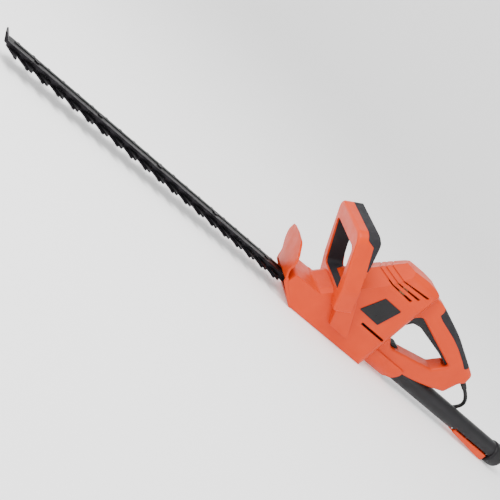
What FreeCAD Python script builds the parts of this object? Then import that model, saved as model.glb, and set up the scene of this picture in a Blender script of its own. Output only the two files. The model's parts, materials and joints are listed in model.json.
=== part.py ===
"""Electric hedge trimmer with a loop handle, a D-shaped rear handle and a plug-in pole grip.

Millimetres. +X runs along the blade towards its tip, +Y is the tool's left, +Z is up. The origin is on the
flat underside of the body, level with the front of the motor. The crank turns about a vertical axis.
"""
import FreeCAD, Part
import math
import os
from FreeCAD import Vector, Placement, Rotation

# ------------------------------------------------------------------ driving dimensions
# clearances
slide_gap = 0.3          # between pieces that slide past each other
bearing_gap = 0.05       # radial, shaft in its bush
wall = 3.0               # moulded shell thickness

# blades and guide bar
cut_z = 20.5             # height of the plane between the two blades
blade_thick = 2.4
blade_gap = 0.1          # each blade stands this far off the plane
tooth_pitch = 27.0
tooth_count = 20
tooth_reach = 33.0       # tooth tip from the middle
tooth_start = 127.0      # rearmost tooth
tooth_flank = 16.0       # long front edge of each tooth, along the bar
lower_shift = 5.0        # lower blade's teeth ahead of the upper one's, both at rest
blade_half = 13.0        # half width of the blade's spine
stroke_radius = 8.0      # eccentric offset, so each blade travels twice this
bar_thick = 5.0
bar_half = 12.5
bar_rear = 82.0
bar_overhang = 24.0      # bar past the foremost tooth
bolt_radius = 2.5
bolt_count = 5

# drive
crank_x = -10.0
gear_module = 1.0
gear_teeth = 60
pinion_teeth = 12
pressure_angle = 25.0
backlash = 0.16
gear_bottom = 17.0
gear_thick = 8.0
rod_length = 62.0
rod_thick = 4.0
eccentric_wall = 1.0     # metal left outside the crank's bore at its thinnest
crank_radius = 5.0

# motor
stator_radius = 31.0
rotor_radius = 22.0
motor_bottom = 75.0      # underside of the stator
motor_height = 50.0
shaft_radius = 4.0

# body
body_half = 38.0
body_front = 74.5
body_rear = -97.0
dome_top = 177.5
shoulder_z = 131.0       # the sides lean in above this height
dome_half = 25.0
brow_x = 8.0             # where the dome's two front facets meet, at the shoulder
brow_sweep = 0.5         # how far each facet falls back towards its side, per unit across
brow_lean = 0.857        # and per unit up, which is the slope of the body's front
neck_top = 49.0
chin_x = 114.5
chin_z = 29.0

vent_lines = (           # front x, front z, rear x, rear z of each slot's middle
    (-12, 138.4, -63, 138.0), (-22.6, 145.5, -73, 147.7), (-29, 153.6, -85, 158.6))
groove_depth = 1.2

# rear handle
handle_half = 17.0
handle_round = 9.0
opening_round = 5.0
trigger_half = 9.0

# front loop handle
loop_x = 49.7            # lower edge of the opening on the front face
loop_z = 74.5
loop_lean = 31.5         # degrees forward from upright
loop_open_height = 81.0
loop_open_half = 53.0
loop_bar = 29.0
loop_leg = 15.0
loop_leg_depth = 29.5    # front moulding at the legs
loop_bar_depth = 17.0    # front moulding at the top of the bar
loop_depth = 39.0        # whole bar with its soft back
loop_lip = 3.0           # front moulding in front of the soft lining
loop_lining = 3.0        # lining round the opening
switch_bar_front = 21.0  # switch bar, back from the front face
switch_bar_thick = 7.5
switch_travel = 3.5

# guard
guard_half = 44.0
guard_waist = 32.0       # half width where the shield leaves the chin
guard_top_x = 147.0
guard_top_z = 91.0
guard_sweep = 2.0        # how far the shield's sides fall back

# pole
pole_z = 24.5
pole_radius = 15.0
grip_wall = 2.0          # sleeve over the pole
pole_wall = 2.0
pole_front = -110.0
grip_front = -150.0
pole_rear = -452.0
pommel_lip = 4.5         # pommel past the grip
pommel_rear = -478.0
socket_wall = 5.5
lever_front = -338.0
lever_rear = -442.0
lever_lip = 0.5          # lever's cheeks past the pole
lever_inset = 3.2        # lever's nose inside the tube's bore, each side
lever_room_depth = 6.0   # top of the lever's room, below the middle of the pole

# cord
cord_radius = 3.5
sleeve_radius = 6.0
sleeve_seat = 12.0
pin_radius = 2.4
pin_length = 19.0
pin_spacing = 19.0

# screws of the loop
screw_core = 1.9
screw_head = 3.3
screw_tip = 12.0         # depth of the tip from the loop's front face
screw_seat = 30.0        # depth of the head's seat

Y_AXIS = Vector(0, 1, 0)
Z_AXIS = Vector(0, 0, 1)
X_AXIS = Vector(1, 0, 0)


# ------------------------------------------------------------------ helpers
def box(x0, x1, y0, y1, z0, z1):
    """Block between two corners."""
    return Part.makeBox(x1 - x0, y1 - y0, z1 - z0, Vector(x0, y0, z0))


def rod(radius, start, end):
    """Round bar between two points."""
    axis = end - start
    return Part.makeCylinder(radius, axis.Length, start, axis)


def tube(outer, inner, start, end):
    """Round tube between two points."""
    return rod(outer, start, end).cut(rod(inner, start, end))


def fuse(shapes):
    """One solid from touching shapes, with leftover seams removed."""
    result = shapes[0]
    for shape in shapes[1:]:
        result = result.fuse(shape)
    return result.removeSplitter()


def rounded(corners, place):
    """Closed wire through (u, v, radius) corners, each rounded by its own tangent arc."""
    edges = []
    count = len(corners)
    starts = []
    ends = []
    mids = []
    for i in range(count):
        here = Vector(corners[i][0], corners[i][1], 0)
        before = Vector(corners[i - 1][0], corners[i - 1][1], 0) - here
        after = Vector(corners[(i + 1) % count][0], corners[(i + 1) % count][1], 0) - here
        half = before.getAngle(after) / 2
        reach = corners[i][2] / math.tan(half)
        reach = min(reach, 0.49 * before.Length, 0.49 * after.Length)
        radius = reach * math.tan(half)
        before.normalize()
        after.normalize()
        middle = before + after
        middle.normalize()
        centre = here + middle * (radius / math.sin(half))
        starts.append(here + before * reach)
        mids.append(centre - middle * radius)
        ends.append(here + after * reach)
    for i in range(count):
        if corners[i][2] > 0:
            edges.append(Part.Arc(place(starts[i]), place(mids[i]), place(ends[i])).toShape())
        nxt = (i + 1) % count
        edges.append(Part.LineSegment(place(ends[i]), place(starts[nxt])).toShape())
    return Part.Wire(edges)


def side_prism(corners, y0, y1):
    """Side outline of (x, z, radius) corners, carried across the tool from y0 to y1."""
    wire = rounded(corners, lambda p: Vector(p.x, y0, p.y))
    return Part.Face(wire).extrude(Vector(0, y1 - y0, 0))


def plan_prism(corners, z0, z1):
    """Plan outline of (x, y, radius) corners, carried up from z0 to z1."""
    wire = rounded(corners, lambda p: Vector(p.x, p.y, z0))
    return Part.Face(wire).extrude(Vector(0, 0, z1 - z0))


def end_prism(corners, x0, x1):
    """End outline of (y, z, radius) corners, carried along the tool from x0 to x1."""
    wire = rounded(corners, lambda p: Vector(x0, p.x, p.y))
    return Part.Face(wire).extrude(Vector(x1 - x0, 0, 0))


def mirrored(shape):
    """The same shape on the other side of the tool."""
    return shape.mirror(Vector(0, 0, 0), Y_AXIS)


def round_edges(shape, radius, keep):
    """Fillet the edges for which keep(edge) is true."""
    return shape.makeFillet(radius, [edge for edge in shape.Edges if keep(edge)])


def in_plane_y(value):
    """True for edges that lie wholly in the plane y = value."""
    def test(edge):
        bound = edge.BoundBox
        return abs(bound.YMin - value) < 0.01 and abs(bound.YMax - value) < 0.01
    return test


# ------------------------------------------------------------------ derived places
eccentric_radius = stroke_radius + crank_radius + eccentric_wall
grip_radius = pole_radius + grip_wall
socket_radius = grip_radius + socket_wall
pommel_radius = grip_radius + pommel_lip
lever_half = pole_radius + lever_lip
lever_nose = pole_radius - pole_wall - lever_inset
lever_roof = pole_z - lever_room_depth
pole_switch_half = pole_radius - pole_wall - 0.5
lower_top = cut_z - blade_gap
lower_bottom = lower_top - blade_thick
upper_bottom = cut_z + blade_gap
upper_top = upper_bottom + blade_thick
bar_bottom = upper_top + 0.2
bar_top = bar_bottom + bar_thick
first_tooth = tooth_start + (tooth_count - 1) * tooth_pitch
bar_front = first_tooth + bar_overhang
gear_top = gear_bottom + gear_thick
gear_radius = gear_module * gear_teeth / 2
pinion_radius = gear_module * pinion_teeth / 2
motor_x = crank_x - gear_radius - pinion_radius
gear_reach = gear_radius + gear_module
motor_top = motor_bottom + motor_height
upper_rod_bottom = gear_top + 1.0
upper_rod_top = upper_rod_bottom + rod_thick
lower_rod_top = gear_bottom - 1.0
lower_rod_bottom = lower_rod_top - rod_thick
upper_pin_x = crank_x + stroke_radius + rod_length
lower_pin_x = crank_x - stroke_radius + rod_length
case_floor = 3.0
case_roof = upper_rod_top + 1.0
case_top = case_roof + 5.0
case_rear = motor_x - pinion_radius - 6.0
case_front = upper_pin_x + 10.0
case_half = body_half - wall
bearing_radius = 9.5
shelf_z = motor_bottom - 4.0
bridge_z = motor_top + 21.0
bridge_top = bridge_z + 7.0


# ------------------------------------------------------------------ body shell
def body_block(inset):
    """Main body without its handle, drawn in by inset on every side: three rounded outlines crossed."""
    d = inset
    side = side_prism([
        (body_front - d, d, 2), (chin_x - d, chin_z + d / 2, 3), (chin_x - 3 - d, neck_top - d, 6),
        (64, neck_top + 1 - d, 12), (16 - d, 106 - d, 14), (9 - d, 134, 14),
        (-3 - d, 160 - d, 16), (-16, dome_top - 6 - d, 20), (-42, dome_top - 2 - d, 60),
        (-72, dome_top - d, 60), (-99 + d, dome_top - 2 - d, 10), (-110 + d, 166 - d, 8),
        (-113 + d, 126, 8), (-101.5 + d, 113, 10), (-101.5 + d, 70, 10), (-113 + d, 57, 8),
        (-113 + d, 36, 20), (-109 + d, 14, 12), (body_rear + d, d, 8)], -60, 60)
    across = body_half - d
    crown = dome_half - d
    sill = max(5 - 2 * d, 0)
    end = end_prism([
        (-across, d, sill), (across, d, sill), (across, shoulder_z, 16), (crown + 3, dome_top - 9, 12),
        (crown - 11, dome_top - d + 1.5, 20), (-crown + 11, dome_top - d + 1.5, 20),
        (-crown - 3, dome_top - 9, 12), (-across, shoulder_z, 16)], -200, 200)
    waist = handle_half + 1 - d
    plan = plan_prism([
        (chin_x + 4, -across, 4), (chin_x + 4, across, 4), (body_rear + 7, across, 12), (-106 + d, waist, 8),
        (-116 + d, waist - 4, 5), (-116 + d, -waist + 4, 5), (-106 + d, -waist, 8),
        (body_rear + 7, -across, 12)], -10, 200)
    block = side.common(end).common(plan)
    return block.cut(brow(1, d)).cut(brow(-1, d))


def brow(side, inset):
    """What the dome's leaning front facet cuts away on one side, down to the nose."""
    outward = Vector(1, brow_sweep * side, brow_lean)
    outward.normalize()
    away = Part.makeBox(300, 300, 120, Vector(-150, -150, 0))
    away.Placement = Placement(Vector(brow_x, 0, shoulder_z) - outward * inset, Rotation(Z_AXIS, outward))
    return away.common(box(-200, 200, -100, 100, neck_top + 2, 300))


def handle_outline(y0, y1, inset):
    """Closed outer outline of the rear handle, as one block."""
    d = inset
    return side_prism([
        (-60, 168 - d, 4), (-128, 166 - d, 90), (-200, 144 - d, 200), (-262, 116.5 - d, 60),
        (-281 + d, 108 - d, 10), (-284 + d, 90, 8), (-275 + d, 80, 14), (-267 + d, 52 + d, 9),
        (-240, 42 + d, 60), (-184, 25 + d, 60), (-150, 19 + d, 20), (-60, 17 + d, 4)], y0, y1)


def handle_opening(y0, y1):
    """The finger opening of the rear handle."""
    return side_prism([
        (-119, 127, 9), (-102.5, 110, 16), (-101.5, 72, 14), (-123, 51.5, 14), (-210, 69.5, 8),
        (-218, 79, 12), (-231, 93.5, 3)], y0, y1)


def opening_edge(value):
    """True for edges of the finger opening that lie in the plane y = value."""
    marks = [edge.CenterOfMass for edge in handle_opening(value, value + 1).Edges]

    def test(edge):
        return in_plane_y(value)(edge) and min(edge.CenterOfMass.distanceToPoint(m) for m in marks) < 0.01
    return test


def rear_handle():
    """D-shaped rear handle with softened edges on both sides."""
    ring = handle_outline(-handle_half, handle_half, 0)
    for side in (-handle_half, handle_half):
        ring = round_edges(ring, handle_round, in_plane_y(side))
    ring = ring.cut(handle_opening(-60, 60))
    for side in (-handle_half, handle_half):
        ring = round_edges(ring, opening_round, opening_edge(side))
    return ring


def pad_region():
    """Where the soft pad covers the top of the rear handle."""
    return side_prism([
        (-137, 180, 0), (-137, 149.5, 2), (-147, 145.5, 4), (-190, 135.5, 30), (-214, 127.5, 30),
        (-240, 116, 6), (-255, 108, 3), (-268, 124, 3), (-268, 180, 0)], -60, 60)


def vents():
    """Cooling slots through both sides of the dome, wider at the rear, and the long slot low on the body."""
    slots = []
    for front, front_z, rear, rear_z in vent_lines:
        slots.append(side_prism([
            (front, front_z - 1.0, 0.6), (front - 1, front_z + 1.0, 0.6),
            (rear - 4, rear_z + 1.9, 1), (rear, rear_z - 1.9, 1)], -60, 60))
    slots.append(side_prism([(-33, 56, 2), (-33, 60.5, 2), (-87, 60.5, 2), (-87, 56, 2)], -60, 60))
    middle = box(-150, 60, -18, 18, 40, 180)
    return fuse(slots).cut(middle)


def vent_grooves(outer):
    """Shallow grooves that carry the slots round onto the dome's front facets."""
    bands = [box(front - 1, 40, -60, 60, front_z - 0.9, front_z + 0.9) for front, front_z, _, _ in vent_lines]
    return fuse(bands).common(outer).cut(body_block(groove_depth))


def screw_places():
    """(x, z, depth of the head's seat from the middle) for the screws that join the halves."""
    return ((103, 42.5, 33), (-42, 159, 22), (-88, 160, 22), (-82, 9, 33), (-265, 67, 12),
            (-196, 56, 12), (-122, 148, 12))


def housing_screws():
    """Screws from the right, through the halves."""
    screws = []
    for x, z, seat in screw_places():
        shank = rod(2.0, Vector(x, -seat, z), Vector(x, seat - 4, z))
        head = rod(3.6, Vector(x, -seat - 2.6, z), Vector(x, -seat, z))
        socket = rod(1.5, Vector(x, -seat - 2.6, z), Vector(x, -seat - 1.0, z))
        screws.append(shank.fuse(head).removeSplitter().cut(socket))
    return screws


def housing():
    """Both halves in one, with cavity, ribs, bosses and every cut."""
    outer = body_block(0).fuse(rear_handle())
    cavity = body_block(wall).cut(box(40, 130, -60, 60, neck_top - 2, 90))
    shelf = cavity.common(box(-130, 40, -60, 60, shelf_z, motor_bottom))
    shelf = shelf.cut(rod(27.0, Vector(motor_x, 0, shelf_z - 1), Vector(motor_x, 0, motor_bottom + 1)))
    bridge = cavity.common(box(motor_x - 18, motor_x + 18, -60, 60, bridge_z, bridge_top))
    seat = rod(bearing_radius, Vector(motor_x, 0, bridge_z - 1), Vector(motor_x, 0, bridge_top + 1))
    bridge = bridge.cut(seat)
    shell = outer.cut(cavity)
    shell = shell.fuse(shelf).fuse(bridge)
    for x, z, seat in screw_places():
        boss = rod(5.5, Vector(x, -seat - 1, z), Vector(x, seat + 1, z))
        shell = shell.fuse(boss.common(outer))
    # channels in the rear handle for the trigger, its switch and the cord
    shell = shell.cut(trigger_slot())
    shell = shell.cut(side_prism([
        (-154, 132, 1), (-154, 152, 1), (-129, 157, 1), (-129, 134, 1)], -10.0, 10.0))
    shell = shell.cut(rod(cord_radius + 0.5, cord_exit - exit_direction() * 40, cord_exit))
    shell = shell.cut(sleeve_outline())
    shell = shell.cut(clamp_block())
    shell = shell.cut(rod(2.0, Vector(*trigger_pivot(-14)), Vector(*trigger_pivot(14))))
    # mouth for the blades, seat for the guard and the bottom cover
    shell = shell.cut(box(96, 140, -tooth_reach - 2, tooth_reach + 2, lower_bottom - 3, bar_top + 4))
    shell = shell.cut(box(60, 96.5, -bar_half - 3, bar_half + 3, lower_bottom - 4, case_top + 4))
    shell = shell.cut(guard_shape(30.0))
    shell = shell.cut(cover_plate())
    shell = shell.cut(pole_room())
    shell = shell.cut(pole_socket())
    shell = shell.cut(slider_room())
    shell = shell.cut(pad_region().common(handle_outline(-20, 20, -2)).cut(pad_core()))
    shell = shell.cut(vents())
    shell = shell.cut(vent_grooves(outer))
    for x, z, seat in screw_places():
        shell = shell.cut(rod(2.0, Vector(x, -seat, z), Vector(x, seat - 4, z)))
        shell = shell.cut(rod(3.6, Vector(x, -60, z), Vector(x, -seat, z)))
    for badge in badges():
        shell = shell.cut(badge)
    return shell


def pad_core():
    """What is left of the rear handle under its soft pad."""
    core = handle_outline(-handle_half + wall, handle_half - wall, wall)
    return round_edges(core, handle_round - wall, in_plane_y(handle_half - wall))


def rear_grip_pad(handle):
    """Soft pad over the top of the rear handle."""
    return handle.common(pad_region()).cut(pad_core())


def badges():
    """Plain raised plates, one on each side of the body."""
    plates = []
    plate = side_prism([(-10, 74, 1.5), (-55, 73, 1.5), (-66, 115, 1.5), (-27.5, 115, 1.5)],
                       body_half - 0.8, body_half + 0.8)
    plates.append(plate)
    plates.append(mirrored(plate))
    return plates


# ------------------------------------------------------------------ guard
def guard_shape(ahead):
    """Apron under the chin and a leaning shield above it; its front may be moved ahead to cut with it."""
    front = chin_x + 5
    low = chin_z - 1
    back = chin_x + 1
    apron = side_prism([
        (body_front - 1, 0.6, 1), (body_front + 5 + ahead, 0.6, 1), (front + ahead, low, 6),
        (front + ahead, low + 8, 0), (back, low + 8, 0), (back - 2, low + 4, 4)], -60, 60)
    rise = guard_top_z + 6 - low
    lean = (guard_top_x - front) / (guard_top_z - low)
    plan = rounded([
        (front + ahead - guard_sweep, -60, 0), (front + ahead, -16, 40), (front + ahead, 16, 40),
        (front + ahead - guard_sweep, 60, 0), (back - guard_sweep, 60, 0), (back, 16, 40), (back, -16, 40),
        (back - guard_sweep, -60, 0)], lambda p: Vector(p.x, p.y, low))
    shield = Part.Face(plan).extrude(Vector(lean * rise, 0, rise))
    wide = guard_half
    top = guard_top_z
    outline = end_prism([
        (-body_half, -1, 0), (body_half, -1, 0), (body_half, 34, 4), (guard_waist, 46, 10), (wide, 60, 16),
        (wide + 1, top - 16, 12), (wide - 14, top + 1, 12), (0, top + 3, 60), (-wide + 14, top + 1, 12),
        (-wide - 1, top - 16, 12), (-wide, 60, 16), (-guard_waist, 46, 10), (-body_half, 34, 4)], 60, 240)
    return apron.fuse(shield).common(outline)


def hand_guard():
    """The shield with its window for the blades and its screw holes."""
    guard = guard_shape(0.0).removeSplitter()
    guard = guard.cut(box(60, 160, -tooth_reach - 2, tooth_reach + 2, lower_bottom - 5.5, bar_top + 4))
    return guard


# ------------------------------------------------------------------ bottom cover and gearcase
def case_posts():
    """Screw posts of the gearcase, as (x, y)."""
    rear_x = case_rear + 8
    front_x = case_front - 6
    side = case_half - 6
    return ((rear_x, side), (rear_x, -side), (front_x, side), (front_x, -side))


def cover_plate():
    """Outline of the bottom cover."""
    x0 = case_rear - 2
    x1 = case_front + 1
    side = case_half - 1
    return plan_prism([(x0, -side, 5), (x1, -side, 5), (x1, side, 5), (x0, side, 5)], 0, case_floor)


def bottom_cover():
    """Plate under the gears, with the seat of the lower crank bush."""
    cover = cover_plate()
    ring = tube(11.0, 8.0, Vector(crank_x, 0, case_floor), Vector(crank_x, 0, 9.0))
    cover = cover.fuse(ring)
    for x, y in case_posts():
        cover = cover.cut(rod(2.0, Vector(x, y, -1), Vector(x, y, 5)))
        cover = cover.cut(rod(3.6, Vector(x, y, -1), Vector(x, y, 2.0)))
    return cover


def gearcase_screws():
    """Screws up through the cover into the gearcase."""
    screws = []
    for x, y in case_posts():
        shank = rod(2.0, Vector(x, y, 2.0), Vector(x, y, 14.0))
        head = rod(3.5, Vector(x, y, 0.4), Vector(x, y, 2.0))
        screws.append(shank.fuse(head).removeSplitter())
    return screws


def gearcase():
    """Cast case over the gears: roof, side walls, posts, bearing seats and the nose that holds the bar."""
    outer = box(case_rear, case_front, -case_half, case_half, case_floor, case_top)
    inner = box(case_rear + wall, case_front + 5, -case_half + 2.5, case_half - 2.5, 0, case_roof)
    case = outer.cut(inner)
    for x, y in case_posts():
        case = case.fuse(rod(5.6, Vector(x, y, case_floor), Vector(x, y, case_top - 1)).common(outer))
    nose = box(case_front - 4, bar_rear + 28, -bar_half - 2, bar_half + 2, case_roof, case_top)
    pad = box(bar_rear, bar_rear + 28, -bar_half - 2, bar_half + 2, bar_top, case_top)
    case = case.fuse(nose).fuse(pad)
    case = case.fuse(rod(13.0, Vector(motor_x, 0, case_roof), Vector(motor_x, 0, case_top + 4)).common(
        box(case_rear, 0, -20, 20, 0, 60)))
    case = case.fuse(rod(11.0, Vector(crank_x, 0, case_roof), Vector(crank_x, 0, case_top + 4)))
    case = case.cut(rod(bearing_radius, Vector(motor_x, 0, case_top - 3), Vector(motor_x, 0, case_top + 5)))
    case = case.cut(rod(4.6, Vector(motor_x, 0, 20), Vector(motor_x, 0, case_top)))
    case = case.cut(rod(8.0, Vector(crank_x, 0, case_roof - 1), Vector(crank_x, 0, case_top + 2)))
    for x, y in case_posts():
        case = case.cut(rod(2.0, Vector(x, y, 0), Vector(x, y, 14.0)))
    for x in case_bolts():
        case = case.cut(rod(bolt_radius, Vector(x, 0, bar_top - 1), Vector(x, 0, case_top + 1)))
    return case.removeSplitter()


def crank_bushes():
    """Plain bushes at both ends of the crank shaft."""
    inner = crank_radius + bearing_gap
    low = tube(8.0, inner, Vector(crank_x, 0, case_floor), Vector(crank_x, 0, 9.0))
    high = tube(8.0, inner, Vector(crank_x, 0, case_roof), Vector(crank_x, 0, case_top + 2))
    return [low, high]


# ------------------------------------------------------------------ gears, crank and rods
def gear_points(teeth, phase):
    """Involute outline of a spur gear with its first tooth centred on the angle phase."""
    alpha = math.radians(pressure_angle)
    pitch = gear_module * teeth / 2
    base = pitch * math.cos(alpha)
    tip = pitch + 0.95 * gear_module
    root = pitch - 1.2 * gear_module
    half_tooth = (math.pi * gear_module / 2 - backlash) / (2 * pitch)
    offset = math.tan(alpha) - alpha
    flank = []
    low = max(base, root)
    for i in range(5):
        radius = low + (tip - low) * i / 4
        roll = math.sqrt(max(radius * radius / (base * base) - 1, 0))
        flank.append((radius, half_tooth + offset - (roll - math.atan(roll))))
    points = []
    for tooth in range(teeth):
        middle = phase + 2 * math.pi * tooth / teeth
        profile = [(root, -flank[0][1])] if root < base else []
        profile += [(radius, -angle) for radius, angle in flank]
        profile += [(radius, angle) for radius, angle in reversed(flank)]
        profile += [(root, flank[0][1])] if root < base else []
        for radius, angle in profile:
            points.append((radius * math.cos(middle + angle), radius * math.sin(middle + angle)))
    return points


def spur_gear(teeth, phase, centre_x, bore, z0, z1):
    """Spur gear standing on z0, bored for its shaft."""
    corners = [Vector(centre_x + x, y, z0) for x, y in gear_points(teeth, phase)]
    face = Part.Face(Part.makePolygon(corners + [corners[0]]))
    body = face.extrude(Vector(0, 0, z1 - z0))
    return body.cut(rod(bore, Vector(centre_x, 0, z0 - 1), Vector(centre_x, 0, z1 + 1)))


def drive_gear():
    """Large gear on the crank shaft, a gap facing the pinion."""
    gear = spur_gear(gear_teeth, math.pi + math.pi / gear_teeth, crank_x, crank_radius, gear_bottom, gear_top)
    for i in range(6):
        angle = math.radians(60 * i + 30)
        x = crank_x + 21.5 * math.cos(angle)
        y = 21.5 * math.sin(angle)
        gear = gear.cut(rod(4.5, Vector(x, y, 0), Vector(x, y, 60)))
    return gear


def crank_shaft():
    """Shaft with one eccentric above the gear and the opposite one below it."""
    shaft = rod(crank_radius, Vector(crank_x, 0, case_floor + 0.5), Vector(crank_x, 0, case_top + 1))
    high = rod(eccentric_radius, Vector(crank_x + stroke_radius, 0, gear_top),
               Vector(crank_x + stroke_radius, 0, upper_rod_top + 0.4))
    low = rod(eccentric_radius, Vector(crank_x - stroke_radius, 0, lower_rod_bottom - 0.4),
              Vector(crank_x - stroke_radius, 0, gear_bottom))
    return fuse([shaft, high, low])


def connecting_rod(centre_x, z0, z1):
    """Rod from an eccentric to a blade, with an eye at each end."""
    end_x = centre_x + rod_length
    big = rod(eccentric_radius + 5, Vector(centre_x, 0, z0), Vector(centre_x, 0, z1))
    small = rod(7.0, Vector(end_x, 0, z0), Vector(end_x, 0, z1))
    web = box(centre_x, end_x, -5, 5, z0, z1)
    body = fuse([big, web, small])
    eye = rod(eccentric_radius + bearing_gap, Vector(centre_x, 0, z0 - 1), Vector(centre_x, 0, z1 + 1))
    body = body.cut(eye)
    return body.cut(rod(3.2, Vector(end_x, 0, z0 - 1), Vector(end_x, 0, z1 + 1)))


# ------------------------------------------------------------------ motor
def ring(outer, inner, z0, z1):
    """Ring about the motor axis."""
    return tube(outer, inner, Vector(motor_x, 0, z0), Vector(motor_x, 0, z1))


def rotor_shaft():
    """Motor shaft, thinner below the lower bearing."""
    thin = rod(3.0, Vector(motor_x, 0, gear_bottom - 1.5), Vector(motor_x, 0, case_roof))
    thick = rod(shaft_radius, Vector(motor_x, 0, case_roof), Vector(motor_x, 0, bridge_top))
    return fuse([thin, thick])


def fan():
    """Cooling fan: a disc with upright blades."""
    z0 = shelf_z - 20
    hub = ring(9.0, shaft_radius, z0, z0 + 12)
    disc = ring(28.0, shaft_radius, z0, z0 + 2)
    pieces = [hub, disc]
    for i in range(10):
        blade = box(8, 27, -0.8, 0.8, z0, z0 + 10)
        blade.rotate(Vector(0, 0, 0), Z_AXIS, 36 * i)
        blade.translate(Vector(motor_x, 0, 0))
        pieces.append(blade)
    return fuse(pieces)


def stator_core():
    """Laminated field stack with two pole faces."""
    core = ring(stator_radius, rotor_radius + 1.0, motor_bottom, motor_top)
    return core


def brush_box(side):
    """Brush holder on one side of the commutator."""
    low = motor_top + 7
    outer = box(motor_x - 6, motor_x + 6, 14, 27, low, bridge_z)
    inner = box(motor_x - 4, motor_x + 4, 13, 24, low + 2, low + 10)
    shape = outer.cut(inner)
    return shape if side > 0 else mirrored(shape)


def brush(side):
    """Carbon brush, a little short of the commutator."""
    low = motor_top + 7
    block = box(motor_x - 4, motor_x + 4, 12.3, 24, low + 2, low + 10)
    return block if side > 0 else mirrored(block)


# ------------------------------------------------------------------ blades and bar
def tooth(x, reach):
    """Raked tooth on the left edge of a blade: a long flank in front, a hooked tip at x and a steep back."""
    root = blade_half - 1.5
    return plan_prism([
        (x - 7, root, 0), (x - 4.5, blade_half + 3, 2), (x - 0.5, blade_half + 6, 2), (x - 2.5, reach - 3, 1),
        (x - 2, reach, 0.8), (x + 1.5, reach, 1), (x + 4, reach - 6, 3),
        (x + tooth_flank - 2, blade_half + 1, 5),
        (x + tooth_flank, root, 0)], 0, blade_thick)


def blade(rear_x, shift, reach, count, bottom):
    """Toothed blade, pointed towards its rear end; shift moves its teeth along the bar."""
    foremost = tooth_start + shift + (count - 1) * tooth_pitch
    nose_x = foremost + tooth_flank + 1
    spine = plan_prism([
        (rear_x, -9, 6), (rear_x, 9, 6), (rear_x + 20, blade_half, 6), (nose_x, blade_half, 4),
        (nose_x, -blade_half, 4), (rear_x + 20, -blade_half, 6)], 0, blade_thick)
    comb = []
    for i in range(count):
        left = tooth(foremost - i * tooth_pitch, reach)
        comb.append(left)
        comb.append(mirrored(left))
    body = spine.multiFuse(comb).removeSplitter()
    body.translate(Vector(0, 0, bottom))
    return body


def bolt_slots(travel_low, travel_high):
    """Slots that let a blade slide past its bolts."""
    slots = []
    r = bolt_radius + slide_gap
    for x in bolt_places():
        x0 = x - travel_high
        x1 = x - travel_low
        slots.append(box(x0, x1, -r, r, 0, 60))
        slots.append(rod(r, Vector(x0, 0, 0), Vector(x0, 0, 60)))
        slots.append(rod(r, Vector(x1, 0, 0), Vector(x1, 0, 60)))
    return slots


def case_bolts():
    """Bolts that hold the bar to the gearcase nose."""
    return (bar_rear + 8,)


def bolt_places():
    """Bolts along the bar, evenly spaced ahead of the guard."""
    span = first_tooth - 30 - 150
    return [150 + span * i / (bolt_count - 1) for i in range(bolt_count)] + list(case_bolts())


def upper_blade():
    """Upper blade, at the front of its stroke, with its stub pin on top."""
    body = blade(upper_pin_x - 8, 0.0, tooth_reach, tooth_count, upper_bottom)
    for slot in bolt_slots(-2 * stroke_radius, 0):
        body = body.cut(slot)
    pin = rod(2.6, Vector(upper_pin_x, 0, upper_bottom), Vector(upper_pin_x, 0, upper_rod_bottom - slide_gap))
    return fuse([body, pin])


def lower_blade():
    """Lower blade, at the back of its stroke, with its stub pin underneath."""
    body = blade(lower_pin_x - 8, lower_shift, tooth_reach - 4.0, tooth_count - 1, lower_bottom)
    for slot in bolt_slots(0, 2 * stroke_radius):
        body = body.cut(slot)
    pin = rod(2.6, Vector(lower_pin_x, 0, lower_rod_top + slide_gap), Vector(lower_pin_x, 0, lower_top))
    return fuse([body, pin])


def guide_bar():
    """Flat bar over the blades, with an upturned tip."""
    bar = plan_prism([
        (bar_rear, -bar_half, 2), (bar_rear, bar_half, 2), (bar_front - 2, bar_half, 8),
        (bar_front - 2, -bar_half, 8)], bar_bottom, bar_top)
    groove = box(bar_rear - 1, bar_front - 14, -5, 5, bar_top - 1.0, bar_top + 1)
    tip = side_prism([
        (bar_front - 7, bar_top - 2, 0), (bar_front + 3, bar_top + 9, 1), (bar_front + 5, bar_top + 7.5, 1),
        (bar_front - 2, bar_bottom, 1), (bar_front - 7, bar_bottom, 0)], -bar_half + 3, bar_half - 3)
    bar = fuse([bar.cut(groove), tip])
    for x in bolt_places():
        bar = bar.cut(rod(bolt_radius, Vector(x, 0, bar_bottom - 1), Vector(x, 0, bar_top + 1)))
    return bar


def blade_bolts():
    """Bolts through the bar and both blades."""
    bolts = []
    for x in bolt_places():
        seat = case_top if x in case_bolts() else bar_top - 1.0
        shank = rod(bolt_radius, Vector(x, 0, lower_bottom - 3.2), Vector(x, 0, seat))
        head = rod(4.4, Vector(x, 0, seat), Vector(x, 0, seat + 2.6))
        bolts.append(fuse([shank, head]))
    return bolts


def hexagon(x, across, z0, z1):
    """Six-sided nut blank about a vertical axis."""
    radius = across / math.sqrt(3)
    corners = []
    for i in range(6):
        angle = math.radians(60 * i)
        corners.append((x + radius * math.cos(angle), radius * math.sin(angle), 0))
    return plan_prism(corners, z0, z1)


def blade_nuts():
    """Nuts under the lower blade, just clear of it."""
    nuts = []
    for x in bolt_places():
        nut = hexagon(x, 7.5, lower_bottom - 3.2, lower_bottom - 0.2)
        nuts.append(nut.cut(rod(bolt_radius, Vector(x, 0, 0), Vector(x, 0, 60))))
    return nuts


# ------------------------------------------------------------------ front loop handle
def loop_place(shape):
    """Moves a shape from the loop's own frame (x up the loop, y across, z to its back) into place."""
    moved = shape.copy()
    moved.Placement = Placement(Vector(loop_x, 0, loop_z), Rotation(Y_AXIS, loop_lean - 90))
    return moved


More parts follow.
